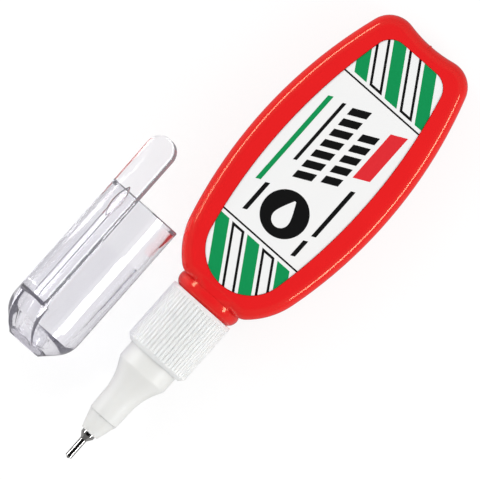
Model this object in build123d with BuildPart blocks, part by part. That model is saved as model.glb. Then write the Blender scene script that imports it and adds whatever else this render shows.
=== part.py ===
"""Correction pen with its clear cap lying beside it, in millimetres.

The pen lies on the bottle's flat back: +Z is up out of the label, +Y points to the tail, -Y to the tip.
The origin is on the back face, under the bottle's widest station.
"""

from build123d import *
from math import cos, radians, sin, sqrt
import os

os.makedirs("parts", exist_ok=True)

# Bottle: flat body with bowed sides, a dipped tail and a round ring at the front
bottle_half_width = 16.7
bottle_thickness = 15.0
tail_length = 33.6
shoulder_length = 33.4
side_bow_share = 0.355
tail_corner_radius = 5.6
tail_dip = 0.7
shoulder_slope = 36.6
edge_radius = 2.8
front_corner_share = 1.25
bottle_wall = 1.2
ring_radius = 7.45
ring_rear_drop = 0.12
ring_front_drop = 1.15
ring_rise = 0.9
ring_length = 2.7
saddle_length = 3.9
saddle_flare = 3.55
saddle_drop = 0.15
saddle_corner = 3.2
saddle_round_share = 0.98
pinch_width = 0.4
pinch_height = 0.15
neck_length = 10.9
neck_bore = 4.6
neck_lip_chamfer = 0.3
snap_height = 0.25
snap_length = 1.6
snap_setback = 5.0

# Label film in its shallow panel
label_side_margin = 5.4
label_tail_margin = 4.15
label_front_margin = 2.9
label_side_radius = 113.0
label_corner_radius = 3.9
label_thickness = 0.15
panel_depth = 0.3
panel_clearance = 0.1

# Loose ball that stirs the fluid
ball_radius = 2.5
ball_clearance = 0.1

# Grip collar
collar_radius = 7.4
collar_wall = 1.1
collar_lip = 1.2
collar_chamfer = 1.0
rib_count = 54
flute_radius = 0.2
flute_setback = 0.8

# Nose
seal_thickness = 0.6
nose_flange_thickness = 2.0
nose_radius = 5.8
nose_reach = 3.6
nose_corner = 1.0
flare_length = 4.1
flare_blend = 13.0
barrel_rear_radius = 3.6
barrel_front_radius = 3.36
barrel_length = 7.7
barrel_rim = 0.2
plug_length = 3.0
plug_wall = 1.1

# Tip holder with the valve inside it
holder_shoulder_radius = 3.25
holder_front_radius = 2.0
holder_cone_length = 4.1
holder_radius = 2.55
holder_length = 8.6
chamber_radius = 1.9
chamber_floor = 0.8
tip_foot_radius = 1.5
tip_foot_length = 0.7
tip_taper_length = 1.0
tip_tube_radius = 0.74
tip_tube_length = 4.7
tip_shank_radius = 1.2
tip_shank_length = 3.6
tip_rim = 0.12
pin_radius = 0.35
pin_gap = 0.1
pin_proud = 0.3
pin_head_radius = 1.5
pin_head_length = 2.5
pin_spigot_radius = 0.8
pin_spigot_length = 1.5
spring_radius = 1.25
spring_wire = 0.16
spring_turns = 5.5
seat_thickness = 1.0
seat_hole = 0.6
seat_slot_width = 0.7
seat_slot_count = 3

# Clear cap with its pocket clip
cap_wall = 0.9
cap_inner_step = 0.6
cap_mouth_depth = 10.8
cap_length = 36.9
cap_end_wall = 2.3
cap_end_flat = 3.8
cap_cone_length = 4.6
cap_end_blend = 6.0
cap_lap = 4.6
cap_tuck = 3.5
cap_rim = 0.2
cap_lead_length = 0.9
cap_lead_rise = 0.3
clip_width = 7.0
clip_thickness = 1.5
clip_gap = 1.2
clip_overhang = 13.2
clip_end_radius = 3.2
clip_edge_radius = 0.35
clip_tilt = 28.7
clip_sweep = 11.8
clip_root_setback = 6.5
clip_root_radius = 2.5
rail_width = 1.3
rail_height = 0.45
bump_height = 0.85
bump_front = 0.8
bump_length = 7.6
bump_width = 1.9
bump_edge = 0.2
socket_wall = 0.6
socket_height = 1.2
pad_radius = 2.6
pad_thickness = 2.0

# Fits
running_clearance = 0.05
cap_clearance = 0.1
overrun = 1.0

# Stations along the pen, from the widest one forward
axis_height = bottle_thickness / 2
ring_front = -(shoulder_length + ring_length)
neck_end = ring_front - neck_length
flange_rear = neck_end - seal_thickness
flange_front = flange_rear - nose_flange_thickness
collar_front = flange_front - collar_lip
flare_start = collar_front - nose_reach
flare_end = flare_start - flare_length
barrel_end = flare_end - barrel_length
holder_end = barrel_end - holder_cone_length
holder_rear = barrel_end + holder_length
tip_tube_start = holder_end - tip_foot_length - tip_taper_length
tip_end = tip_tube_start - tip_tube_length
pin_end = tip_end - pin_proud
chamber_front = barrel_end + chamber_floor
spring_front = chamber_front + pin_head_length
spring_rear = holder_rear - seat_thickness

# Radii that follow from the fits
collar_bore = collar_radius - collar_wall
neck_radius = collar_bore - running_clearance
plug_radius = neck_bore - running_clearance
nose_bore = plug_radius - plug_wall
holder_bore = holder_radius + running_clearance
cap_mouth_bore = collar_radius + cap_clearance
cap_radius = cap_mouth_bore + cap_wall
cap_inner_bore = cap_mouth_bore - cap_inner_step

# Where the cap lies: beside the shoulder, on the same surface as the bottle
cap_x = -(bottle_half_width + cap_radius - cap_tuck)
cap_mouth = -(shoulder_length - cap_lap)
cap_end = cap_mouth - cap_length
cap_bottom = cap_end + cap_end_wall
clip_inner = cap_radius + clip_gap
clip_outer = clip_inner + clip_thickness
clip_tip = cap_mouth + clip_overhang

pen_plane = Plane.XY.offset(axis_height)
pen_axis = Axis((0, 0, axis_height), (0, 1, 0))
cap_plane = Plane(origin=(cap_x, 0, cap_radius))
cap_axis = Axis((cap_x, 0, cap_radius), (0, 1, 0))


def reach(start, through, distance):
    """Point on the ray from start through another point, this far along it."""
    return start + (through - start).normalized() * distance


def arc_about(center, start, end):
    """Arc about a centre, the short way from start to end."""
    middle = reach(center, (start + end) / 2, (start - center).length)
    return ThreePointArc(start, middle, end)


def bottle_half():
    """Right half of the bottle's outline: dip, tail corner, bowed side and shoulder, each tangent."""
    side_bow = side_bow_share * bottle_half_width
    side_radius = (shoulder_length**2 + side_bow**2) / (2 * side_bow)
    side_center = Vector(bottle_half_width - side_radius, 0)
    corner_y = tail_length - tail_corner_radius
    corner_x = side_center.X + sqrt((side_radius - tail_corner_radius) ** 2 - corner_y**2)
    corner_center = Vector(corner_x, corner_y)
    dip_bottom = Vector(0, tail_length - tail_dip)
    dip_height = dip_bottom.Y - corner_y
    dip_radius = (corner_x**2 + dip_height**2 - tail_corner_radius**2) / (
        2 * (tail_corner_radius - dip_height)
    )
    dip_center = dip_bottom + Vector(0, dip_radius)
    ring_corner = Vector(ring_radius, -shoulder_length)
    from_side = ring_corner - side_center
    inward = Vector(-sin(radians(shoulder_slope)), cos(radians(shoulder_slope)))
    shoulder_radius = (side_radius**2 - from_side.length**2) / (
        2 * (side_radius + from_side.dot(inward))
    )
    shoulder_center = ring_corner + inward * shoulder_radius
    dip_end = reach(dip_center, corner_center, dip_radius)
    side_start = reach(side_center, corner_center, side_radius)
    side_end = reach(side_center, shoulder_center, side_radius)
    arc_about(dip_center, dip_bottom, dip_end)
    arc_about(corner_center, dip_end, side_start)
    arc_about(side_center, side_start, side_end)
    arc_about(shoulder_center, side_end, ring_corner)
    Line(ring_corner, Vector(0, -shoulder_length))


def label_half():
    """Right half of the label's outline: straight tail edge, bowed side and round front."""
    half_width = bottle_half_width - label_side_margin
    tail_edge = tail_length - label_tail_margin
    front_edge = shoulder_length - label_front_margin
    side_center = Vector(half_width - label_side_radius, 0)
    past_front = label_side_radius - front_edge
    front_back = (side_center.X**2 - past_front**2) / (2 * past_front)
    front_center = Vector(0, -front_back)
    corner = Vector(side_center.X + sqrt(label_side_radius**2 - tail_edge**2), tail_edge)
    side_end = reach(side_center, front_center, label_side_radius)
    Line(Vector(0, tail_edge), corner)
    arc_about(side_center, corner, side_end)
    arc_about(front_center, side_end, Vector(0, -front_edge))


with BuildSketch() as bottle_outline:
    with BuildLine():
        bottle_half()
        mirror(about=Plane.YZ)
    make_face()
    fillet(bottle_outline.vertices().group_by(Axis.Y)[0], radius=front_corner_share * edge_radius)

with BuildSketch() as label_outline:
    with BuildLine():
        label_half()
        mirror(about=Plane.YZ)
    make_face()
    fillet(label_outline.vertices().group_by(Axis.Y)[-1], radius=label_corner_radius)

# Space for the fluid, one wall inside the bottle all round, with the neck's bore in front
with BuildSketch(Plane.XY.offset(bottle_wall)) as cavity_outline:
    add(bottle_outline.sketch)
    offset(amount=-bottle_wall, kind=Kind.INTERSECTION)

with BuildPart() as cavity:
    extrude(cavity_outline.sketch, amount=bottle_thickness - 2 * bottle_wall)
    fillet(cavity.faces().filter_by(Axis.Z).edges(), radius=edge_radius - bottle_wall)
    with BuildSketch(pen_plane):
        with BuildLine():
            Polyline(
                (0, -shoulder_length + bottle_wall + overrun),
                (neck_bore, -shoulder_length + bottle_wall + overrun),
                (neck_bore, neck_end - overrun),
                (0, neck_end - overrun),
                close=True,
            )
        make_face()
    revolve(axis=pen_axis)

# Red squeeze bottle: rounded flat body, a saddle from its shoulder to the crowned ring, a neck with a
# snap bead, and the seam left at the tail where the mould pinched the tube shut
with BuildPart() as bottle:
    extrude(bottle_outline.sketch, amount=bottle_thickness)
    fillet(bottle.faces().filter_by(Axis.Z).edges(), radius=edge_radius)
    saddle_plane = Plane(origin=(0, -shoulder_length, axis_height), x_dir=(1, 0, 0), z_dir=(0, -1, 0))
    crown_radius = ring_radius - ring_rear_drop
    saddle_radius = crown_radius - saddle_drop
    with BuildSketch(saddle_plane.offset(-saddle_length)):
        RectangleRounded(
            2 * (ring_radius + saddle_flare), bottle_thickness - 2 * saddle_drop, saddle_corner
        )
    with BuildSketch(saddle_plane):
        RectangleRounded(2 * saddle_radius, 2 * saddle_radius, saddle_round_share * saddle_radius)
    loft()
    with BuildSketch(Plane.YZ):
        pinch_tail = tail_length - tail_dip + pinch_height
        with Locations((pinch_tail - edge_radius / 2, axis_height)):
            pinch = Rectangle(edge_radius, bottle_thickness - 2 * pinch_height)
        fillet(pinch.vertices().group_by(Axis.X)[-1], radius=edge_radius - pinch_height)
    extrude(amount=pinch_width / 2, both=True)
    with BuildSketch(pen_plane):
        with BuildLine():
            crown_rear = (crown_radius, -shoulder_length)
            crown_top = (ring_radius, -shoulder_length - ring_rise)
            crown_front = (ring_radius - ring_front_drop, ring_front)
            snap_middle = ring_front - snap_setback
            Polyline(
                (0, -shoulder_length + edge_radius),
                (neck_radius, -shoulder_length + edge_radius),
                (neck_radius, -shoulder_length),
                crown_rear,
            )
            ThreePointArc(crown_rear, crown_top, crown_front)
            Polyline(
                crown_front,
                (neck_radius, ring_front),
                (neck_radius, snap_middle + snap_length / 2),
                (neck_radius + snap_height, snap_middle),
                (neck_radius, snap_middle - snap_length / 2),
                (neck_radius, neck_end + neck_lip_chamfer),
                (neck_radius - neck_lip_chamfer, neck_end),
                (0, neck_end),
                (0, -shoulder_length + edge_radius),
            )
        make_face()
    revolve(axis=pen_axis)
    add(cavity.part, mode=Mode.SUBTRACT)
    with BuildSketch(Plane.XY.offset(bottle_thickness - panel_depth)):
        add(label_outline.sketch)
        offset(amount=panel_clearance)
    extrude(amount=panel_depth + overrun, mode=Mode.SUBTRACT)

# Printed film, lying on the floor of its panel
with BuildPart() as front_label:
    with BuildSketch(Plane.XY.offset(bottle_thickness - panel_depth)):
        add(label_outline.sketch)
    extrude(amount=label_thickness)

# Loose ball on the bottle's inner floor
with BuildPart() as stirring_ball:
    with Locations((0, 0, bottle_wall + ball_clearance + ball_radius)):
        Sphere(ball_radius)

# Ribbed collar that snaps over the neck and holds the nose's flange down on it
with BuildPart() as grip_collar:
    snap_groove = neck_radius + snap_height + running_clearance
    with BuildSketch(pen_plane):
        with BuildLine():
            Polyline(
                (collar_bore, ring_front),
                (collar_radius, ring_front),
                (collar_radius, collar_front + collar_chamfer),
                (collar_radius - collar_chamfer, collar_front),
                (nose_radius + running_clearance, collar_front),
                (nose_radius + running_clearance, flange_front),
                (collar_bore, flange_front),
                (collar_bore, snap_middle - snap_length / 2),
                (snap_groove, snap_middle),
                (collar_bore, snap_middle + snap_length / 2),
                close=True,
            )
        make_face()
    revolve(axis=pen_axis)
    flute_plane = Plane(
        origin=(0, ring_front - flute_setback, axis_height), x_dir=(1, 0, 0), z_dir=(0, -1, 0)
    )
    with BuildSketch(flute_plane):
        with PolarLocations(collar_radius, rib_count):
            Circle(flute_radius)
    extrude(amount=ring_front - collar_front, mode=Mode.SUBTRACT)

# Soft ring between the neck's lip and the nose's flange
with BuildPart() as neck_seal:
    with BuildSketch(pen_plane):
        with BuildLine():
            Polyline(
                (plug_radius + running_clearance, neck_end),
                (neck_radius - neck_lip_chamfer, neck_end),
                (neck_radius - neck_lip_chamfer, flange_rear),
                (plug_radius + running_clearance, flange_rear),
                close=True,
            )
        make_face()
    revolve(axis=pen_axis)

# Nose: plug in the neck, clamped flange, shoulder, flare and thin barrel, bored through
with BuildPart() as nose_cone:
    with BuildSketch(pen_plane):
        with BuildLine():
            Polyline(
                (nose_bore, flange_rear + seal_thickness + plug_length),
                (plug_radius, flange_rear + seal_thickness + plug_length),
                (plug_radius, flange_rear),
                (collar_bore - running_clearance, flange_rear),
                (collar_bore - running_clearance, flange_front),
                (nose_radius, flange_front),
                (nose_radius, flare_start),
                (barrel_rear_radius, flare_end),
                (barrel_front_radius, barrel_end),
                (holder_bore, barrel_end),
                (holder_bore, holder_rear),
                (nose_bore, flare_start),
                close=True,
            )
        make_face()
        fillet(vertices().sort_by_distance((nose_radius, flare_start))[0], radius=nose_corner)
        fillet(vertices().sort_by_distance((barrel_rear_radius, flare_end))[0], radius=flare_blend)
        fillet(vertices().sort_by_distance((barrel_front_radius, barrel_end))[0], radius=barrel_rim)
    revolve(axis=pen_axis)

# Tip holder: cone that caps the barrel, with a sleeve behind it round the valve chamber
with BuildPart() as tip_holder:
    with BuildSketch(pen_plane):
        with BuildLine():
            Polyline(
                (chamber_radius, holder_rear),
                (holder_radius, holder_rear),
                (holder_radius, barrel_end),
                (holder_shoulder_radius, barrel_end),
                (holder_front_radius, holder_end),
                (tip_shank_radius + running_clearance, holder_end),
                (tip_shank_radius + running_clearance, chamber_front),
                (chamber_radius, chamber_front),
                close=True,
            )
        make_face()
    revolve(axis=pen_axis)

# Metal tip: shank in the holder, flared foot and thin tube
with BuildPart() as metal_tip:
    tip_bore = pin_radius + pin_gap
    with BuildSketch(pen_plane):
        with BuildLine():
            Polyline(
                (tip_bore, holder_end + tip_shank_length),
                (tip_shank_radius, holder_end + tip_shank_length),
                (tip_shank_radius, holder_end),
                (tip_foot_radius, holder_end),
                (tip_foot_radius, holder_end - tip_foot_length),
                (tip_tube_radius, tip_tube_start),
                (tip_tube_radius, tip_end + tip_rim),
                (tip_tube_radius - tip_rim, tip_end),
                (tip_bore, tip_end),
                close=True,
            )
        make_face()
        foot_edge = (tip_foot_radius, holder_end - tip_foot_length)
        tube_root = (tip_tube_radius, tip_tube_start)
        fillet(vertices().sort_by_distance(foot_edge)[0], radius=tip_foot_length / 2)
        fillet(vertices().sort_by_distance(tube_root)[0], radius=tip_taper_length / 2)
    revolve(axis=pen_axis)

# Valve pin: thin rod through the tube, with a round end, a head on the chamber floor and a spigot
with BuildPart() as valve_pin:
    with BuildSketch(pen_plane):
        with BuildLine():
            round_start = pin_end + pin_radius
            Polyline(
                (0, spring_front + pin_spigot_length),
                (pin_spigot_radius, spring_front + pin_spigot_length),
                (pin_spigot_radius, spring_front),
                (pin_head_radius, spring_front),
                (pin_head_radius, chamber_front),
                (pin_radius, chamber_front),
                (pin_radius, round_start),
            )
            arc_about(Vector(0, round_start), Vector(pin_radius, round_start), Vector(0, pin_end))
            Line((0, pin_end), (0, spring_front + pin_spigot_length))
        make_face()
    revolve(axis=pen_axis)

# Coil spring behind the pin's head, its ends ground flat
with BuildPart() as valve_spring:
    spring_length = spring_rear - spring_front
    with BuildLine() as spring_path:
        Helix(
            pitch=spring_length / spring_turns,
            height=spring_length,
            radius=spring_radius,
            center=(0, spring_front, axis_height),
            direction=(0, 1, 0),
        )
    with BuildSketch(Plane(origin=spring_path.line @ 0, z_dir=spring_path.line % 0)):
        Circle(spring_wire)
    sweep(is_frenet=True)
    split(bisect_by=Plane(origin=(0, spring_front, axis_height), z_dir=(0, 1, 0)))
    split(bisect_by=Plane(origin=(0, spring_rear, axis_height), z_dir=(0, -1, 0)))

# Slotted disc in the holder's mouth, which carries the spring and lets the fluid past
with BuildPart() as spring_seat:
    seat_plane = Plane(origin=(0, holder_rear, axis_height), x_dir=(1, 0, 0), z_dir=(0, -1, 0))
    with BuildSketch(seat_plane):
        Circle(chamber_radius - running_clearance)
        Circle(seat_hole, mode=Mode.SUBTRACT)
        with PolarLocations(chamber_radius, seat_slot_count):
            SlotOverall(chamber_radius, seat_slot_width, mode=Mode.SUBTRACT)
    extrude(amount=seat_thickness)

# Clear cap: stepped tube with a cone end, its clip swept out of the end and a socket for the pad
clip_plane = Plane(
    origin=(cap_x, 0, cap_radius),
    x_dir=(-sin(radians(clip_tilt)), 0, cos(radians(clip_tilt))),
    z_dir=(-cos(radians(clip_tilt)), 0, -sin(radians(clip_tilt))),
)

with BuildPart() as clip_blade:
    with BuildSketch(clip_plane):
        with BuildLine():
            sweep_center = Vector(clip_outer - clip_sweep, cap_end + clip_sweep)
            sweep_start = Vector(clip_outer, sweep_center.Y)
            sweep_end = Vector(sweep_center.X, cap_end)
            root = Vector(clip_inner, cap_end + clip_root_setback + clip_root_radius)
            arc_about(sweep_center, sweep_start, sweep_end)
            Polyline(
                sweep_end,
                (sweep_center.X, cap_end + clip_root_setback),
                root,
                (clip_inner, clip_tip),
                (clip_outer, clip_tip),
                sweep_start,
            )
        blade_profile = make_face()
        fillet(blade_profile.vertices().sort_by_distance(root)[0], radius=clip_root_radius)
    extrude(amount=clip_width / 2, both=True)
    clip_axis = Axis(clip_plane.origin, clip_plane.x_dir)
    fillet(clip_blade.faces().sort_by(Axis.Y)[-1].edges().filter_by(clip_axis), radius=clip_end_radius)
    outer_face = clip_blade.faces().filter_by(clip_axis).sort_by(clip_axis)[-1]
    fillet(outer_face.edges().sort_by(Axis.Y)[1:], radius=clip_edge_radius)

# Rail down the clip's inner side, with a leaf-shaped bump at its top that grips the pocket
with BuildPart() as clip_rail:
    bump_top = cap_mouth + bump_front
    bump_bottom = bump_top - bump_length
    bump_plane = Plane(
        origin=clip_plane.origin + clip_plane.x_dir * (clip_inner - bump_height),
        x_dir=-clip_plane.z_dir,
        z_dir=clip_plane.x_dir,
    )
    with BuildSketch(bump_plane):
        with BuildLine():
            ThreePointArc((0, bump_top), (bump_width / 2, (bump_top + bump_bottom) / 2), (0, bump_bottom))
            mirror(about=Plane.YZ)
        make_face()
    extrude(amount=bump_height + clip_thickness / 2)
    chamfer(clip_rail.faces().sort_by(clip_axis)[0].edges(), length=bump_edge)
    with BuildSketch(bump_plane.offset(bump_height - rail_height)):
        rail_top = (bump_top + bump_bottom) / 2
        rail_bottom = root.Y
        with Locations((0, (rail_top + rail_bottom) / 2)):
            Rectangle(rail_width, rail_top - rail_bottom)
    extrude(amount=rail_height + clip_thickness / 2)

with BuildPart() as cap_shell:
    with BuildSketch(cap_plane):
        with BuildLine():
            Polyline(
                (0, cap_end),
                (cap_end_flat, cap_end),
                (cap_radius, cap_end + cap_cone_length),
                (cap_radius, cap_mouth - cap_rim),
                (cap_radius - cap_rim, cap_mouth),
                (0, cap_mouth),
                close=True,
            )
        tube_profile = make_face()
        cone_corner = (cap_radius, cap_end + cap_cone_length)
        fillet(tube_profile.vertices().sort_by_distance(cone_corner)[0], radius=cap_end_blend)
    revolve(axis=cap_axis)
    add(clip_blade.part)
    add(clip_rail.part)
    with BuildSketch(cap_plane):
        inner_cone = cap_inner_bore - cap_end_flat
        with BuildLine():
            Polyline(
                (0, cap_mouth + overrun),
                (cap_mouth_bore + cap_lead_rise, cap_mouth + overrun),
                (cap_mouth_bore + cap_lead_rise, cap_mouth),
                (cap_mouth_bore, cap_mouth - cap_lead_length),
                (cap_mouth_bore, cap_mouth - cap_mouth_depth),
                (cap_inner_bore, cap_mouth - cap_mouth_depth),
                (cap_inner_bore, cap_bottom + inner_cone),
                (cap_end_flat, cap_bottom),
                (pad_radius + running_clearance + socket_wall, cap_bottom),
                (pad_radius + running_clearance + socket_wall, cap_bottom + socket_height),
                (pad_radius + running_clearance, cap_bottom + socket_height),
                (pad_radius + running_clearance, cap_bottom),
                (0, cap_bottom),
                close=True,
            )
        make_face()
    revolve(axis=cap_axis, mode=Mode.SUBTRACT)

# Soft pad in the cap's socket, dished where the metal tip presses into it
with BuildPart() as cap_seal:
    with BuildSketch(cap_plane):
        with BuildLine():
            Polyline(
                (0, cap_bottom),
                (pad_radius, cap_bottom),
                (pad_radius, cap_bottom + pad_thickness),
                (tip_tube_radius, cap_bottom + pad_thickness),
                (0, cap_bottom + pad_thickness - tip_tube_radius),
                close=True,
            )
        make_face()
    revolve(axis=cap_axis)

pieces = {
    "bottle": bottle,
    "front_label": front_label,
    "stirring_ball": stirring_ball,
    "grip_collar": grip_collar,
    "neck_seal": neck_seal,
    "nose_cone": nose_cone,
    "tip_holder": tip_holder,
    "metal_tip": metal_tip,
    "valve_pin": valve_pin,
    "valve_spring": valve_spring,
    "spring_seat": spring_seat,
    "cap_shell": cap_shell,
    "cap_seal": cap_seal,
}
for name, piece in pieces.items():
    piece.part.label = name
    export_step(piece.part, f"parts/{name}.step")
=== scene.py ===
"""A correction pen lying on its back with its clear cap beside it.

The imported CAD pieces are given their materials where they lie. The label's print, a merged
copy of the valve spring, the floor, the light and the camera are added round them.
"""

import math

import bmesh
import bpy
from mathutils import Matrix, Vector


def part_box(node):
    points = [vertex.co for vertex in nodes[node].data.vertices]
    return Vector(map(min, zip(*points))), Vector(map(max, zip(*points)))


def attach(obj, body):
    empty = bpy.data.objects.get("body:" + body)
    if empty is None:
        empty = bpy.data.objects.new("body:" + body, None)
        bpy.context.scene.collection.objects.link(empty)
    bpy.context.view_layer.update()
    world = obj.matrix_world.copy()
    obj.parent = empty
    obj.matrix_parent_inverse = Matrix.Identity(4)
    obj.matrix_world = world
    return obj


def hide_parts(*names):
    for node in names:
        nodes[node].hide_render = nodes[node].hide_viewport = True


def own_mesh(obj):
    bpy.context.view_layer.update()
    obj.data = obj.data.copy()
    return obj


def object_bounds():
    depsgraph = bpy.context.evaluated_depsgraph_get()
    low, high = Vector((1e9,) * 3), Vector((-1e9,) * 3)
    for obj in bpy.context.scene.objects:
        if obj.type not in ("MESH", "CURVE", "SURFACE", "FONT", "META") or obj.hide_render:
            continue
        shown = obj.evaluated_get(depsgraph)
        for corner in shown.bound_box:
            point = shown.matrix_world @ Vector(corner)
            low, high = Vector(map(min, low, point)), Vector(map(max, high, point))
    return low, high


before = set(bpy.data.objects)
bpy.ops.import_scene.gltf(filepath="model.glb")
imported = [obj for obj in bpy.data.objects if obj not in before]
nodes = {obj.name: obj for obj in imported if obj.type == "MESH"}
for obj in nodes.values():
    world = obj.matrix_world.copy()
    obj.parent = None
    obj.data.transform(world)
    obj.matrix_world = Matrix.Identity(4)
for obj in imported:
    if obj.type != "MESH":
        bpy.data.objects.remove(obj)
cad_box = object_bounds()
MM = 0.001

# Bottle: a flat squeeze bottle, blow-moulded in red polypropylene.
# The polished mould leaves it glossy, and its two halves meet in a fine line round its middle.
BOTTLE_RED = "E12223"
BOTTLE_RED_DEEP = "DA1E21"
BOTTLE_SHINE = "FFE4B4"
AXIS_HEIGHT = 7.5 * MM
PARTING_LINE = 0.12 * MM
CLOUD_SIZE = 9 * MM
PEEL_SIZE = 0.8 * MM


def linear(code):
    """An sRGB hex colour as linear red, green, blue and alpha."""
    values = [int(code[i : i + 2], 16) / 255 for i in (0, 2, 4)]
    return [v / 12.92 if v <= 0.04045 else ((v + 0.055) / 1.055) ** 2.4 for v in values] + [1.0]


def add_node(tree, kind, sockets, **settings):
    """A shader node with its settings, and its sockets set to values or linked to other sockets."""
    node = tree.nodes.new("ShaderNode" + kind)
    for name, value in settings.items():
        setattr(node, name, value)
    for name, value in sockets.items():
        if isinstance(value, bpy.types.NodeSocket):
            tree.links.new(value, node.inputs[name])
        else:
            node.inputs[name].default_value = value
    return node


def start_material(name):
    """A new material, its empty node tree and the socket with the place on the piece."""
    material = bpy.data.materials.new(name)
    material.use_nodes = True
    material.node_tree.nodes.clear()
    place = add_node(material.node_tree, "TexCoord", {})
    return material, material.node_tree, place.outputs["Object"]


def dress(piece, material):
    """Gives a piece its material, in place of any it had."""
    piece.data.materials.clear()
    piece.data.materials.append(material)


# Gloss-moulded polypropylene: even red with a faint cloudiness, a soft orange peel in its
# highlights, which the pigment under the skin turns warm, and the parting line as a fine ridge.
# A colour Mix takes its factor at 0 and its colours at 6 and 7, and gives the blend at output 2
red_plastic, tree, place = start_material("red_polypropylene_moulded_gloss")
clouds = add_node(tree, "TexNoise", {"Vector": place, "Scale": 1 / CLOUD_SIZE, "Detail": 2.0})
peel = add_node(tree, "TexNoise", {"Vector": place, "Scale": 1 / PEEL_SIZE, "Detail": 1.0})
tint = add_node(
    tree,
    "Mix",
    {0: clouds.outputs["Fac"], 6: linear(BOTTLE_RED), 7: linear(BOTTLE_RED_DEEP)},
    data_type="RGBA",
)
gloss = add_node(tree, "MapRange", {"Value": clouds.outputs["Fac"], "To Min": 0.1, "To Max": 0.16})
axes = add_node(tree, "SeparateXYZ", {"Vector": place})
from_middle = add_node(tree, "Math", {0: axes.outputs["Z"], 1: AXIS_HEIGHT}, operation="SUBTRACT")
off_line = add_node(tree, "Math", {0: from_middle.outputs[0]}, operation="ABSOLUTE")
ridge = add_node(
    tree,
    "MapRange",
    {"Value": off_line.outputs[0], "From Max": PARTING_LINE, "To Min": 1.0, "To Max": 0.0},
    interpolation_type="SMOOTHSTEP",
)
skin = add_node(
    tree, "Bump", {"Height": peel.outputs["Fac"], "Strength": 0.16, "Distance": 0.012 * MM}
)
seam = add_node(
    tree,
    "Bump",
    {"Height": ridge.outputs[0], "Strength": 0.8, "Distance": 0.05 * MM, "Normal": skin.outputs[0]},
)
shader = add_node(
    tree,
    "BsdfPrincipled",
    {
        "Base Color": tint.outputs[2],
        "Roughness": gloss.outputs[0],
        "IOR": 1.49,
        "Specular Tint": linear(BOTTLE_SHINE),
        "Normal": seam.outputs[0],
    },
)
add_node(tree, "OutputMaterial", {"Surface": shader.outputs[0]})
dress(nodes["bottle"], red_plastic)

# Stirring ball: a loose steel ball in the bottle that mixes the fluid when the pen is shaken.
# Pressed from wire, ground and tumbled.
STEEL = "C9C8C6"
STEEL_DARK = "BDBCBA"
TUMBLE_SIZE = 0.3 * MM

# Tumbled steel: bright and even, with faint marks in its shine
ball_steel, tree, place = start_material("tumbled_bearing_steel")
marks = add_node(tree, "TexNoise", {"Vector": place, "Scale": 1 / TUMBLE_SIZE, "Detail": 3.0})
metal = add_node(
    tree,
    "Mix",
    {0: marks.outputs["Fac"], 6: linear(STEEL), 7: linear(STEEL_DARK)},
    data_type="RGBA",
)
shine = add_node(tree, "MapRange", {"Value": marks.outputs["Fac"], "To Min": 0.1, "To Max": 0.2})
shader = add_node(
    tree,
    "BsdfPrincipled",
    {"Base Color": metal.outputs[2], "Metallic": 1.0, "Roughness": shine.outputs[0]},
)
add_node(tree, "OutputMaterial", {"Surface": shader.outputs[0]})
dress(nodes["stirring_ball"], ball_steel)

# Label: white polypropylene film, printed, varnished and stuck down in the bottle's shallow panel.
# The die that cut it leaves square edges.
FILM_WHITE = "EAE9E8"
FILM_WHITE_COOL = "E6E7E7"
GRAIN_SIZE = 0.25 * MM

# Varnished film: a cool white with a soft gloss and a fine print grain
white_film, tree, place = start_material("white_polypropylene_film_varnished")
grain = add_node(tree, "TexNoise", {"Vector": place, "Scale": 1 / GRAIN_SIZE, "Detail": 2.0})
sweep = add_node(tree, "TexNoise", {"Vector": place, "Scale": 1 / CLOUD_SIZE, "Detail": 1.0})
paper = add_node(
    tree,
    "Mix",
    {0: sweep.outputs["Fac"], 6: linear(FILM_WHITE), 7: linear(FILM_WHITE_COOL)},
    data_type="RGBA",
)
varnish = add_node(tree, "MapRange", {"Value": grain.outputs["Fac"], "To Min": 0.4, "To Max": 0.48})
film_bump = add_node(
    tree, "Bump", {"Height": grain.outputs["Fac"], "Strength": 0.2, "Distance": 0.004 * MM}
)
shader = add_node(
    tree,
    "BsdfPrincipled",
    {
        "Base Color": paper.outputs[2],
        "Roughness": varnish.outputs[0],
        "IOR": 1.49,
        "Normal": film_bump.outputs[0],
    },
)
add_node(tree, "OutputMaterial", {"Surface": shader.outputs[0]})
dress(nodes["front_label"], white_film)

# Label print: flat screen inks in black, green and red, each a separate pass over the film.
# A band of slanted bars crosses each end behind a thin rule. Between them are rows of plain
# blocks, stripes and a disc with a drop.
INKS = {"black": ("080808", "0F0F10"), "green": ("008A4B", "048F50"), "red": ("D5232B", "DB2A31")}
INK_DEPTH = 0.03 * MM
INK_PROUD = 0.012 * MM
MOTTLE_SIZE = 0.5 * MM
MERGE_DISTANCE = 0.0001 * MM
PICK_MARGIN = 0.01 * MM
TRIM_STRETCH = 3

# The print's places and sizes are in millimetres, across the label and along it. A band of bars
# starts where its first bar leaves the rule, and runs one way or the other along the pen
RULE_MIDDLES = ((0, 18.0), (0, -18.6))
RULE_LENGTH = 40
RULE_WIDTH = 0.36
BAR_TURN = math.radians(32)
BAR_STARTS = (((-9.0, -19.5), -1), ((-6.5, 18.9), 1))
BAR_COUNT = 5
BAR_PITCH = 4
BAR_WIDTH = 2.7
BAR_LENGTH = 14
OUTLINE_WIDTH = 0.52
BLOCK_PITCH = 2.75
BLOCK_LENGTH = 1.75
BLOCK_ROWS = (((-1.8, -3.2), 7, 3.6), ((3.0, -0.4), 5, 3.2))
STRIPES = (
    ("black", (-5.4, 5.4), 0.7, 15),
    ("black", (7.6, -5.2), 0.9, 12),
    ("black", (-6.4, -12.6), 0.9, 7),
    ("black", (7.0, -14.8), 0.9, 4),
    ("green", (-8.4, 1.2), 1.0, 22),
    ("red", (7.2, 9.4), 3.2, 11.5),
)
LEAN_SHARE = 0.5
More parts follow.
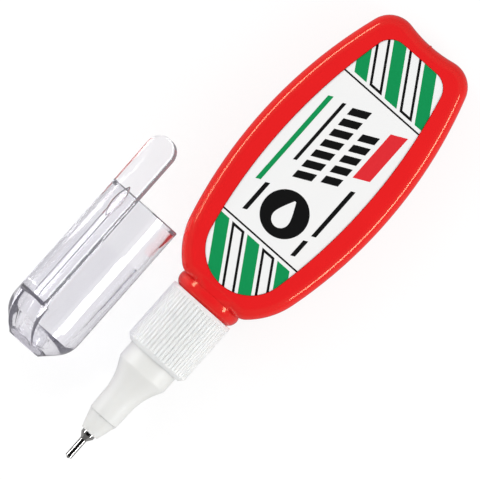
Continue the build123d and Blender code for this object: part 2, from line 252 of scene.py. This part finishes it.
DISC_MIDDLE = (0.3, -11.6)
DISC_RADIUS = 5
DISC_POINTS = 128
DROP_MIDDLE = (0.3, -12.8)
DROP_RADIUS = 1.9
DROP_POINTS = 64
DROP_PULL = 2.6
DROP_PULL_REACH = 1.4 * DROP_RADIUS
DROP_CUT_DEPTH = 4 * INK_DEPTH
film_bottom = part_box("front_label")[0].z
film_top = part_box("front_label")[1].z


def pick(piece, test):
    """Selects, in edit mode, the points of a piece whose place passes the test."""
    mesh = bmesh.from_edit_mesh(piece.data)
    for point in mesh.verts:
        point.select_set(test(point.co))
    mesh.select_flush_mode()
    bmesh.update_edit_mesh(piece.data)


def lay_on_film(shape, middle, turn):
    """Turns a flat shape, lays its middle at a place on the film, and leaves edit mode."""
    pick(shape, lambda point: True)
    # The operator counts a turn clockwise
    bpy.ops.transform.rotate(value=-turn, orient_axis="Z", center_override=(0, 0, 0))
    bpy.ops.transform.translate(value=(middle[0] * MM, middle[1] * MM, film_top + INK_PROUD))
    bpy.ops.object.mode_set(mode="OBJECT")
    return shape


def ink_bar(middle, width, length, lean=0, turn=0, outline=0):
    """A bar of ink, or only its outline: a plane stretched to size, its right edge slid up."""
    bpy.ops.object.select_all(action="DESELECT")
    bpy.ops.mesh.primitive_plane_add(size=1)
    bar = bpy.context.object
    bpy.ops.object.mode_set(mode="EDIT")
    bpy.ops.transform.resize(value=(width * MM, length * MM, 1))
    bpy.ops.transform.translate(value=(0, -lean * MM / 2, 0))
    pick(bar, lambda point: point.x > 0)
    bpy.ops.transform.translate(value=(0, lean * MM, 0))
    if outline:
        pick(bar, lambda point: True)
        bpy.ops.mesh.inset(thickness=outline * MM, depth=0)
        bpy.ops.mesh.delete(type="FACE")
    return lay_on_film(bar, middle, turn)


def ink_disc(middle, radius, points):
    """A flat disc of ink with this many points round its edge."""
    bpy.ops.object.select_all(action="DESELECT")
    bpy.ops.mesh.primitive_circle_add(radius=radius * MM, vertices=points, fill_type="NGON")
    disc = bpy.context.object
    bpy.ops.object.mode_set(mode="EDIT")
    return lay_on_film(disc, middle, 0)


def use_modifier(piece, kind, **settings):
    """Adds a modifier with its settings and applies it."""
    bpy.context.view_layer.objects.active = piece
    modifier = piece.modifiers.new(kind.title(), kind)
    for name, value in settings.items():
        setattr(modifier, name, value)
    bpy.ops.object.modifier_apply(modifier=modifier.name)


def join(shapes):
    """Several shapes as one object."""
    bpy.ops.object.select_all(action="DESELECT")
    for shape in shapes:
        shape.select_set(True)
    bpy.context.view_layer.objects.active = shapes[0]
    if len(shapes) > 1:
        bpy.ops.object.join()
    return shapes[0]


def copy_of(node, name):
    """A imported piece's shape as a new object, its points merged, in edit mode and all selected."""
    bpy.ops.object.select_all(action="DESELECT")
    piece = bpy.data.objects.new(name, node.data.copy())
    piece.data.name = name
    bpy.context.scene.collection.objects.link(piece)
    bpy.context.view_layer.objects.active = piece
    piece.select_set(True)
    bpy.ops.object.mode_set(mode="EDIT")
    bpy.ops.mesh.select_all(action="SELECT")
    bpy.ops.mesh.remove_doubles(threshold=MERGE_DISTANCE)
    return piece


# The film's own outline, made deeper, is the tool that trims each ink to the label's edge
film_trim = copy_of(nodes["front_label"], "film_trim")
film_middle = (0, 0, (film_bottom + film_top) / 2)
bpy.ops.transform.resize(value=(1, 1, TRIM_STRETCH), center_override=film_middle)
bpy.ops.object.mode_set(mode="OBJECT")

# The bars' ends are cut to run along the rule, and every other bar is only an outline
shapes = {ink: [] for ink in INKS}
bar_across = -math.sin(BAR_TURN) * BAR_LENGTH / 2
bar_along = math.cos(BAR_TURN) * BAR_LENGTH / 2
bar_lean = -BAR_WIDTH * math.tan(BAR_TURN)
for (x, y), side in BAR_STARTS:
    for i in range(BAR_COUNT):
        middle = (x + BAR_PITCH * i + side * bar_across, y + side * bar_along)
        ink, outline = ("black", OUTLINE_WIDTH) if i % 2 else ("green", 0)
        shapes[ink].append(ink_bar(middle, BAR_WIDTH, BAR_LENGTH, bar_lean, BAR_TURN, outline))
for middle in RULE_MIDDLES:
    shapes["black"].append(ink_bar(middle, RULE_LENGTH, RULE_WIDTH))
for (x, y), count, width in BLOCK_ROWS:
    for i in range(count):
        middle = (x, y + BLOCK_PITCH * i)
        shapes["black"].append(ink_bar(middle, width, BLOCK_LENGTH, lean=LEAN_SHARE * width))
for ink, middle, width, length in STRIPES:
    shapes[ink].append(ink_bar(middle, width, length, lean=LEAN_SHARE * width))

# The drop starts round, its top is pulled up to a point, and it is cut out of the disc
disc = ink_disc(DISC_MIDDLE, DISC_RADIUS, DISC_POINTS)
drop = ink_disc(DROP_MIDDLE, DROP_RADIUS, DROP_POINTS)
bpy.ops.object.mode_set(mode="EDIT")
drop_top = (DROP_MIDDLE[1] + DROP_RADIUS) * MM
pick(drop, lambda point: point.y > drop_top - PICK_MARGIN)
bpy.ops.transform.translate(
    value=(0, DROP_PULL * MM, 0),
    use_proportional_edit=True,
    proportional_edit_falloff="SHARP",
    proportional_size=DROP_PULL_REACH * MM,
)
bpy.ops.object.mode_set(mode="OBJECT")
use_modifier(drop, "SOLIDIFY", thickness=DROP_CUT_DEPTH, offset=0)
use_modifier(disc, "SOLIDIFY", thickness=INK_DEPTH, offset=-1)
use_modifier(disc, "BOOLEAN", object=drop, operation="DIFFERENCE", solver="EXACT")
bpy.data.objects.remove(drop)

# Screen ink: a flat, dense colour with a faint mottle and the varnish's soft gloss over it
for ink, (code, code_light) in INKS.items():
    print_piece = join(shapes[ink])
    print_piece.name = print_piece.data.name = "label_print_" + ink
    use_modifier(print_piece, "SOLIDIFY", thickness=INK_DEPTH, offset=-1)
    use_modifier(print_piece, "BOOLEAN", object=film_trim, operation="INTERSECT", solver="EXACT")
    if ink == "black":
        print_piece = join([print_piece, disc])
    screen_ink, tree, place = start_material("screen_ink_varnished_" + ink)
    mottle = add_node(tree, "TexNoise", {"Vector": place, "Scale": 1 / MOTTLE_SIZE, "Detail": 2.0})
    colour = add_node(
        tree,
        "Mix",
        {0: mottle.outputs["Fac"], 6: linear(code), 7: linear(code_light)},
        data_type="RGBA",
    )
    sheen = add_node(
        tree, "MapRange", {"Value": mottle.outputs["Fac"], "To Min": 0.34, "To Max": 0.38}
    )
    shader = add_node(
        tree,
        "BsdfPrincipled",
        {"Base Color": colour.outputs[2], "Roughness": sheen.outputs[0], "IOR": 1.49},
    )
    add_node(tree, "OutputMaterial", {"Surface": shader.outputs[0]})
    dress(print_piece, screen_ink)
    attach(print_piece, "pen")
bpy.data.objects.remove(film_trim)

# Neck seal: a soft washer pressed between the bottle's neck and the nose.
# Moulded in a white thermoplastic elastomer.
SEAL_WHITE = "DCDCD8"
SEAL_WHITE_DEEP = "D4D4CF"
DUST_SIZE = 0.4 * MM

# Elastomer: a matt, slightly waxy off-white
seal_rubber, tree, place = start_material("white_elastomer_moulded_matt")
dust = add_node(tree, "TexNoise", {"Vector": place, "Scale": 1 / DUST_SIZE, "Detail": 2.0})
wax = add_node(
    tree,
    "Mix",
    {0: dust.outputs["Fac"], 6: linear(SEAL_WHITE), 7: linear(SEAL_WHITE_DEEP)},
    data_type="RGBA",
)
dull = add_node(tree, "MapRange", {"Value": dust.outputs["Fac"], "To Min": 0.6, "To Max": 0.75})
shader = add_node(
    tree,
    "BsdfPrincipled",
    {"Base Color": wax.outputs[2], "Roughness": dull.outputs[0], "IOR": 1.5},
)
add_node(tree, "OutputMaterial", {"Surface": shader.outputs[0]})
dress(nodes["neck_seal"], seal_rubber)

# Nose cone, tip holder and spring seat: injection-moulded in white low-density polyethylene.
# The nose's flange sits under the collar. The holder snaps on its front and the seat in behind.
NOSE_WHITE = "E4E4E2"
NOSE_WHITE_DEEP = "DFDFDC"
NOSE_GLOW = 1.2 * MM
GLOW_SHARES = (1.0, 0.95, 0.9)
ERODE_SIZE = 0.35 * MM

# Satin polyethylene: milky white that light seeps into, with the fine grain of a spark-eroded mould
nose_plastic, tree, place = start_material("white_polyethylene_moulded_satin")
flow = add_node(tree, "TexNoise", {"Vector": place, "Scale": 1 / CLOUD_SIZE, "Detail": 2.0})
erode = add_node(tree, "TexNoise", {"Vector": place, "Scale": 1 / ERODE_SIZE, "Detail": 2.0})
milk = add_node(
    tree,
    "Mix",
    {0: flow.outputs["Fac"], 6: linear(NOSE_WHITE), 7: linear(NOSE_WHITE_DEEP)},
    data_type="RGBA",
)
satin = add_node(tree, "MapRange", {"Value": erode.outputs["Fac"], "To Min": 0.36, "To Max": 0.44})
nose_bump = add_node(
    tree, "Bump", {"Height": erode.outputs["Fac"], "Strength": 0.25, "Distance": 0.006 * MM}
)
shader = add_node(
    tree,
    "BsdfPrincipled",
    {
        "Base Color": milk.outputs[2],
        "Roughness": satin.outputs[0],
        "IOR": 1.51,
        "Subsurface Weight": 0.5,
        "Subsurface Radius": GLOW_SHARES,
        "Subsurface Scale": NOSE_GLOW,
        "Normal": nose_bump.outputs[0],
    },
)
add_node(tree, "OutputMaterial", {"Surface": shader.outputs[0]})
for name in ("nose_cone", "tip_holder", "spring_seat"):
    dress(nodes[name], nose_plastic)

# Grip collar: the ribbed ring that clamps the nose to the bottle's neck.
# Injection-moulded in white polypropylene and snapped over the neck.
COLLAR_WHITE = "EDEDEB"
COLLAR_WHITE_DEEP = "E8E8E5"
COLLAR_GLOW = 3 * MM

# Satin polypropylene: a little drier and less milky than the nose
collar_plastic, tree, place = start_material("white_polypropylene_moulded_satin")
flow = add_node(tree, "TexNoise", {"Vector": place, "Scale": 1 / CLOUD_SIZE, "Detail": 2.0})
erode = add_node(tree, "TexNoise", {"Vector": place, "Scale": 1 / ERODE_SIZE, "Detail": 2.0})
milk = add_node(
    tree,
    "Mix",
    {0: flow.outputs["Fac"], 6: linear(COLLAR_WHITE), 7: linear(COLLAR_WHITE_DEEP)},
    data_type="RGBA",
)
satin = add_node(tree, "MapRange", {"Value": erode.outputs["Fac"], "To Min": 0.72, "To Max": 0.82})
collar_bump = add_node(
    tree, "Bump", {"Height": erode.outputs["Fac"], "Strength": 0.25, "Distance": 0.006 * MM}
)
shader = add_node(
    tree,
    "BsdfPrincipled",
    {
        "Base Color": milk.outputs[2],
        "Roughness": satin.outputs[0],
        "IOR": 1.49,
        "Subsurface Weight": 0.95,
        "Subsurface Radius": GLOW_SHARES,
        "Subsurface Scale": COLLAR_GLOW,
        "Normal": collar_bump.outputs[0],
    },
)
add_node(tree, "OutputMaterial", {"Surface": shader.outputs[0]})
dress(nodes["grip_collar"], collar_plastic)

# Metal tip and valve pin: the tube is turned and pressed into its holder.
# The sprung pin inside it closes the tip until it is pressed on paper.
TURN_PITCH = 0.12 * MM
WAVE_RADIANS = 20

# Turned and polished stainless steel: a bright mirror with faint rings round the tube, drawn
# coarser than the real ones so that they show. The wave texture runs through WAVE_RADIANS in a
# metre at scale 1, which gives its scale for the rings' pitch
tip_steel, tree, place = start_material("stainless_steel_turned_polished")
ring_scale = 2 * math.pi / (WAVE_RADIANS * TURN_PITCH)
rings = add_node(
    tree,
    "TexWave",
    {"Vector": place, "Scale": ring_scale, "Distortion": 0.4, "Detail": 1.0},
    bands_direction="Y",
)
metal = add_node(
    tree,
    "Mix",
    {0: rings.outputs["Fac"], 6: linear(STEEL), 7: linear(STEEL_DARK)},
    data_type="RGBA",
)
shine = add_node(tree, "MapRange", {"Value": rings.outputs["Fac"], "To Min": 0.06, "To Max": 0.12})
shader = add_node(
    tree,
    "BsdfPrincipled",
    {"Base Color": metal.outputs[2], "Metallic": 1.0, "Roughness": shine.outputs[0]},
)
add_node(tree, "OutputMaterial", {"Surface": shader.outputs[0]})
for name in ("metal_tip", "valve_pin"):
    dress(nodes[name], tip_steel)

# Valve spring: a coil of hard steel wire between the spring seat and the pin's head.
# It stands on the seat and shortens as the pin is pressed in.
COIL_STEEL = "BEBDBB"
COIL_STEEL_DARK = "AEADAB"
DRAW_SIZE = 0.2 * MM

coil = copy_of(nodes["valve_spring"], "valve_spring_coil")
bpy.ops.mesh.normals_make_consistent(inside=False)
bpy.ops.object.mode_set(mode="OBJECT")
bpy.ops.object.shade_smooth()

# Drawn spring wire: a little darker and duller than the turned tip, with faint marks of the die
coil_steel, tree, place = start_material("stainless_spring_wire_drawn")
marks = add_node(tree, "TexNoise", {"Vector": place, "Scale": 1 / DRAW_SIZE, "Detail": 2.0})
metal = add_node(
    tree,
    "Mix",
    {0: marks.outputs["Fac"], 6: linear(COIL_STEEL), 7: linear(COIL_STEEL_DARK)},
    data_type="RGBA",
)
shine = add_node(tree, "MapRange", {"Value": marks.outputs["Fac"], "To Min": 0.18, "To Max": 0.28})
shader = add_node(
    tree,
    "BsdfPrincipled",
    {"Base Color": metal.outputs[2], "Metallic": 1.0, "Roughness": shine.outputs[0]},
)
add_node(tree, "OutputMaterial", {"Surface": shader.outputs[0]})
dress(coil, coil_steel)
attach(coil, "pen")
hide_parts("valve_spring")
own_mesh(coil)

# Cap: a clear tube with its pocket clip, injection-moulded in one piece of crystal polystyrene.
# It lies beside the pen, pulled off.
CAP_CLEAR = "FDFDFE"
CAP_DEPTH = "CDC8D6"
CAP_DENSITY = 0.1 / MM
CAP_PASS = "F4F4F6"
INNER_REFLECTIONS = 1.5
FLOW_WIDTH = 3 * MM
FLOW_STRETCH = 0.2

# Crystal polystyrene: water-clear where it is thin and a violet grey where it is thick, with long
# soft flow waves that bend what is seen through it. Light from the lamps passes it, and light that
# is caught between its walls gets out again, so that its thick end is grey and not black
cap_plastic, tree, place = start_material("clear_polystyrene_moulded")
along = add_node(tree, "Mapping", {"Vector": place, "Scale": (1, FLOW_STRETCH, 1)})
waves = add_node(
    tree, "TexNoise", {"Vector": along.outputs[0], "Scale": 1 / FLOW_WIDTH, "Detail": 1.0}
)
wave_bump = add_node(
    tree, "Bump", {"Height": waves.outputs["Fac"], "Strength": 0.3, "Distance": 0.05 * MM}
)
clear = add_node(tree, "MapRange", {"Value": waves.outputs["Fac"], "To Min": 0.01, "To Max": 0.04})
shader = add_node(
    tree,
    "BsdfPrincipled",
    {
        "Base Color": linear(CAP_CLEAR),
        "Roughness": clear.outputs[0],
        "IOR": 1.59,
        "Transmission Weight": 1.0,
        "Normal": wave_bump.outputs[0],
    },
)
ray = add_node(tree, "LightPath", {})
open_way = add_node(tree, "BsdfTransparent", {"Color": linear(CAP_PASS)})
caught = add_node(
    tree, "Math", {0: ray.outputs["Glossy Depth"], 1: INNER_REFLECTIONS}, operation="GREATER_THAN"
)
leaves = add_node(
    tree, "MixShader", {0: caught.outputs[0], 1: shader.outputs[0], 2: open_way.outputs[0]}
)
inside = add_node(
    tree,
    "MixShader",
    {0: ray.outputs["Is Reflection Ray"], 1: shader.outputs[0], 2: leaves.outputs[0]},
)
surface = add_node(
    tree,
    "MixShader",
    {0: ray.outputs["Is Shadow Ray"], 1: inside.outputs[0], 2: open_way.outputs[0]},
)
depth = add_node(tree, "VolumeAbsorption", {"Color": linear(CAP_DEPTH), "Density": CAP_DENSITY})
add_node(tree, "OutputMaterial", {"Surface": surface.outputs[0], "Volume": depth.outputs[0]})
dress(nodes["cap_shell"], cap_plastic)

# Cap seal: a soft pad in the cap's closed end. The tip presses into it and so doesn't dry out.
# Moulded in clear silicone and pushed in.
PAD_CLEAR = "F2F2F2"
PAD_HAZE = 0.35
PAD_HAZE_SIZE = 0.6 * MM

# Clear silicone: a milky haze that is mostly see-through, so that it hardly shows in the cap
pad_silicone, tree, place = start_material("clear_silicone_moulded")
haze = add_node(tree, "TexNoise", {"Vector": place, "Scale": 1 / PAD_HAZE_SIZE, "Detail": 2.0})
soft = add_node(tree, "MapRange", {"Value": haze.outputs["Fac"], "To Min": 0.3, "To Max": 0.45})
shader = add_node(
    tree,
    "BsdfPrincipled",
    {"Base Color": linear(PAD_CLEAR), "Roughness": soft.outputs[0], "IOR": 1.41, "Alpha": PAD_HAZE},
)
add_node(tree, "OutputMaterial", {"Surface": shader.outputs[0]})
dress(nodes["cap_seal"], pad_silicone)

# Floor: a wide sheet of white card under the pen, cut from one plane with its middle divided.
# To the camera and through clear plastic it is nearly white, and it keeps a pale shadow.
# In gloss it is dimmer, so that colours stay deep.
FLOOR_SIZE = 6
FLOOR_CUTS = 3
FLOOR_DROP = 0.02 * MM
CARD_SHADE = "7C7C7C"
CARD_GLOW = 0.82
CARD_GLOW_IN_GLOSS = 0.2

bpy.ops.object.select_all(action="DESELECT")
bpy.ops.mesh.primitive_plane_add(size=FLOOR_SIZE)
floor = bpy.context.object
floor.name = floor.data.name = "floor"
bpy.ops.object.mode_set(mode="EDIT")
bpy.ops.mesh.subdivide(number_cuts=FLOOR_CUTS)
bpy.ops.mesh.select_all(action="SELECT")
bpy.ops.transform.translate(value=(0, 0, cad_box[0].z - FLOOR_DROP))
bpy.ops.object.mode_set(mode="OBJECT")
white_card, tree, _ = start_material("white_card")
ray = add_node(tree, "LightPath", {})
in_sight = add_node(
    tree,
    "Math",
    {0: ray.outputs["Is Camera Ray"], 1: ray.outputs["Is Transmission Ray"]},
    operation="MAXIMUM",
)
seen = add_node(tree, "Math", {0: in_sight.outputs[0], 1: CARD_GLOW}, operation="MULTIPLY")
mirrored = add_node(
    tree, "Math", {0: ray.outputs["Is Glossy Ray"], 1: CARD_GLOW_IN_GLOSS}, operation="MULTIPLY"
)
strength = add_node(tree, "Math", {0: seen.outputs[0], 1: mirrored.outputs[0]}, operation="MAXIMUM")
glow = add_node(tree, "Emission", {"Color": linear("FFFFFF"), "Strength": strength.outputs[0]})
shade = add_node(tree, "BsdfDiffuse", {"Color": linear(CARD_SHADE)})
shader = add_node(tree, "AddShader", {0: glow.outputs[0], 1: shade.outputs[0]})
add_node(tree, "OutputMaterial", {"Surface": shader.outputs[0]})
floor.data.materials.append(white_card)

# Studio light: a soft room that is darker straight overhead, and a long low softbox on each side.
# In gloss the room is dimmer, so that colours stay deep and the softboxes stand out in it. Through
# clear plastic its ceiling is lighter, so that the cap isn't dark.
ROOM = 1.15
ROOM_IN_GLOSS = 0.18
OVERHEAD = 0.03
OVERHEAD_EDGE = (0.7, 0.94)
OVERHEAD_THROUGH_CAP = 0.75
BOXES = (("left_softbox", -1, 0.02, 0.3, 11.8), ("right_softbox", 1, 0.02, 0.26, 15.0))
BOX_HEIGHT = 0.065
BOX_AWAY = 0.36
BOX_MIDDLE = 0.18
BOX_DOWN = math.radians(25)

world = bpy.data.worlds.new("soft_room")
world.use_nodes = True
world.node_tree.nodes.clear()
tree = world.node_tree
toward = add_node(tree, "TexCoord", {})
up = add_node(tree, "SeparateXYZ", {"Vector": toward.outputs["Generated"]})
ceiling = add_node(
    tree,
    "MapRange",
    {
        "Value": up.outputs["Z"],
        "From Min": OVERHEAD_EDGE[0],
        "From Max": OVERHEAD_EDGE[1],
        "To Min": ROOM,
        "To Max": OVERHEAD,
    },
    interpolation_type="SMOOTHSTEP",
)
ray = add_node(tree, "LightPath", {})
refracted = add_node(
    tree,
    "Math",
    {0: ray.outputs["Is Transmission Ray"], 1: OVERHEAD_THROUGH_CAP},
    operation="MULTIPLY",
)
mirrored = add_node(
    tree,
    "Math",
    {0: ray.outputs["Is Glossy Ray"], 1: ray.outputs["Is Reflection Ray"]},
    operation="MINIMUM",
)
share = add_node(
    tree, "MapRange", {"Value": mirrored.outputs[0], "To Min": 1.0, "To Max": ROOM_IN_GLOSS}
)
walls = add_node(tree, "Math", {0: ceiling.outputs[0], 1: share.outputs[0]}, operation="MULTIPLY")
level = add_node(tree, "Math", {0: walls.outputs[0], 1: refracted.outputs[0]}, operation="MAXIMUM")
room = add_node(tree, "Background", {"Color": linear("FFFFFF"), "Strength": level.outputs[0]})
add_node(tree, "OutputWorld", {"Surface": room.outputs[0]})
bpy.context.scene.world = world

for name, side, middle, length, radiance in BOXES:
    lamp = bpy.data.lights.new(name, "AREA")
    lamp.shape = "RECTANGLE"
    lamp.size = length
    lamp.size_y = BOX_HEIGHT
    lamp.energy = radiance * math.pi * length * BOX_HEIGHT
    softbox = bpy.data.objects.new(name, lamp)
    softbox.location = (side * BOX_AWAY, middle, BOX_MIDDLE)
    softbox.rotation_euler = (math.pi / 2 - BOX_DOWN, 0, side * math.pi / 2)
    softbox.visible_camera = False
    bpy.context.scene.collection.objects.link(softbox)

# Camera: straight above the pen, turned so that the tip points to the lower left.
CAMERA_MIDDLE = (-2.96 * MM, -21.36 * MM)
CAMERA_TURN = math.radians(41.5)
CAMERA_AWAY = 1.6
VIEW_HEIGHT = 11 * MM
VIEW_WIDTH = 96 * MM
SENSOR_WIDTH = 36
CLIP_RANGE = (0.01, 20)

lens = bpy.data.cameras.new("overhead_camera")
lens.type = "PERSP"
lens.sensor_width = SENSOR_WIDTH
lens.lens = SENSOR_WIDTH * CAMERA_AWAY / VIEW_WIDTH
lens.clip_start, lens.clip_end = CLIP_RANGE
camera = bpy.data.objects.new("overhead_camera", lens)
camera.location = (CAMERA_MIDDLE[0], CAMERA_MIDDLE[1], VIEW_HEIGHT + CAMERA_AWAY)
camera.rotation_euler = (0, 0, CAMERA_TURN)
bpy.context.scene.collection.objects.link(camera)
bpy.context.scene.camera = camera
bpy.context.scene.view_settings.view_transform = "Standard"
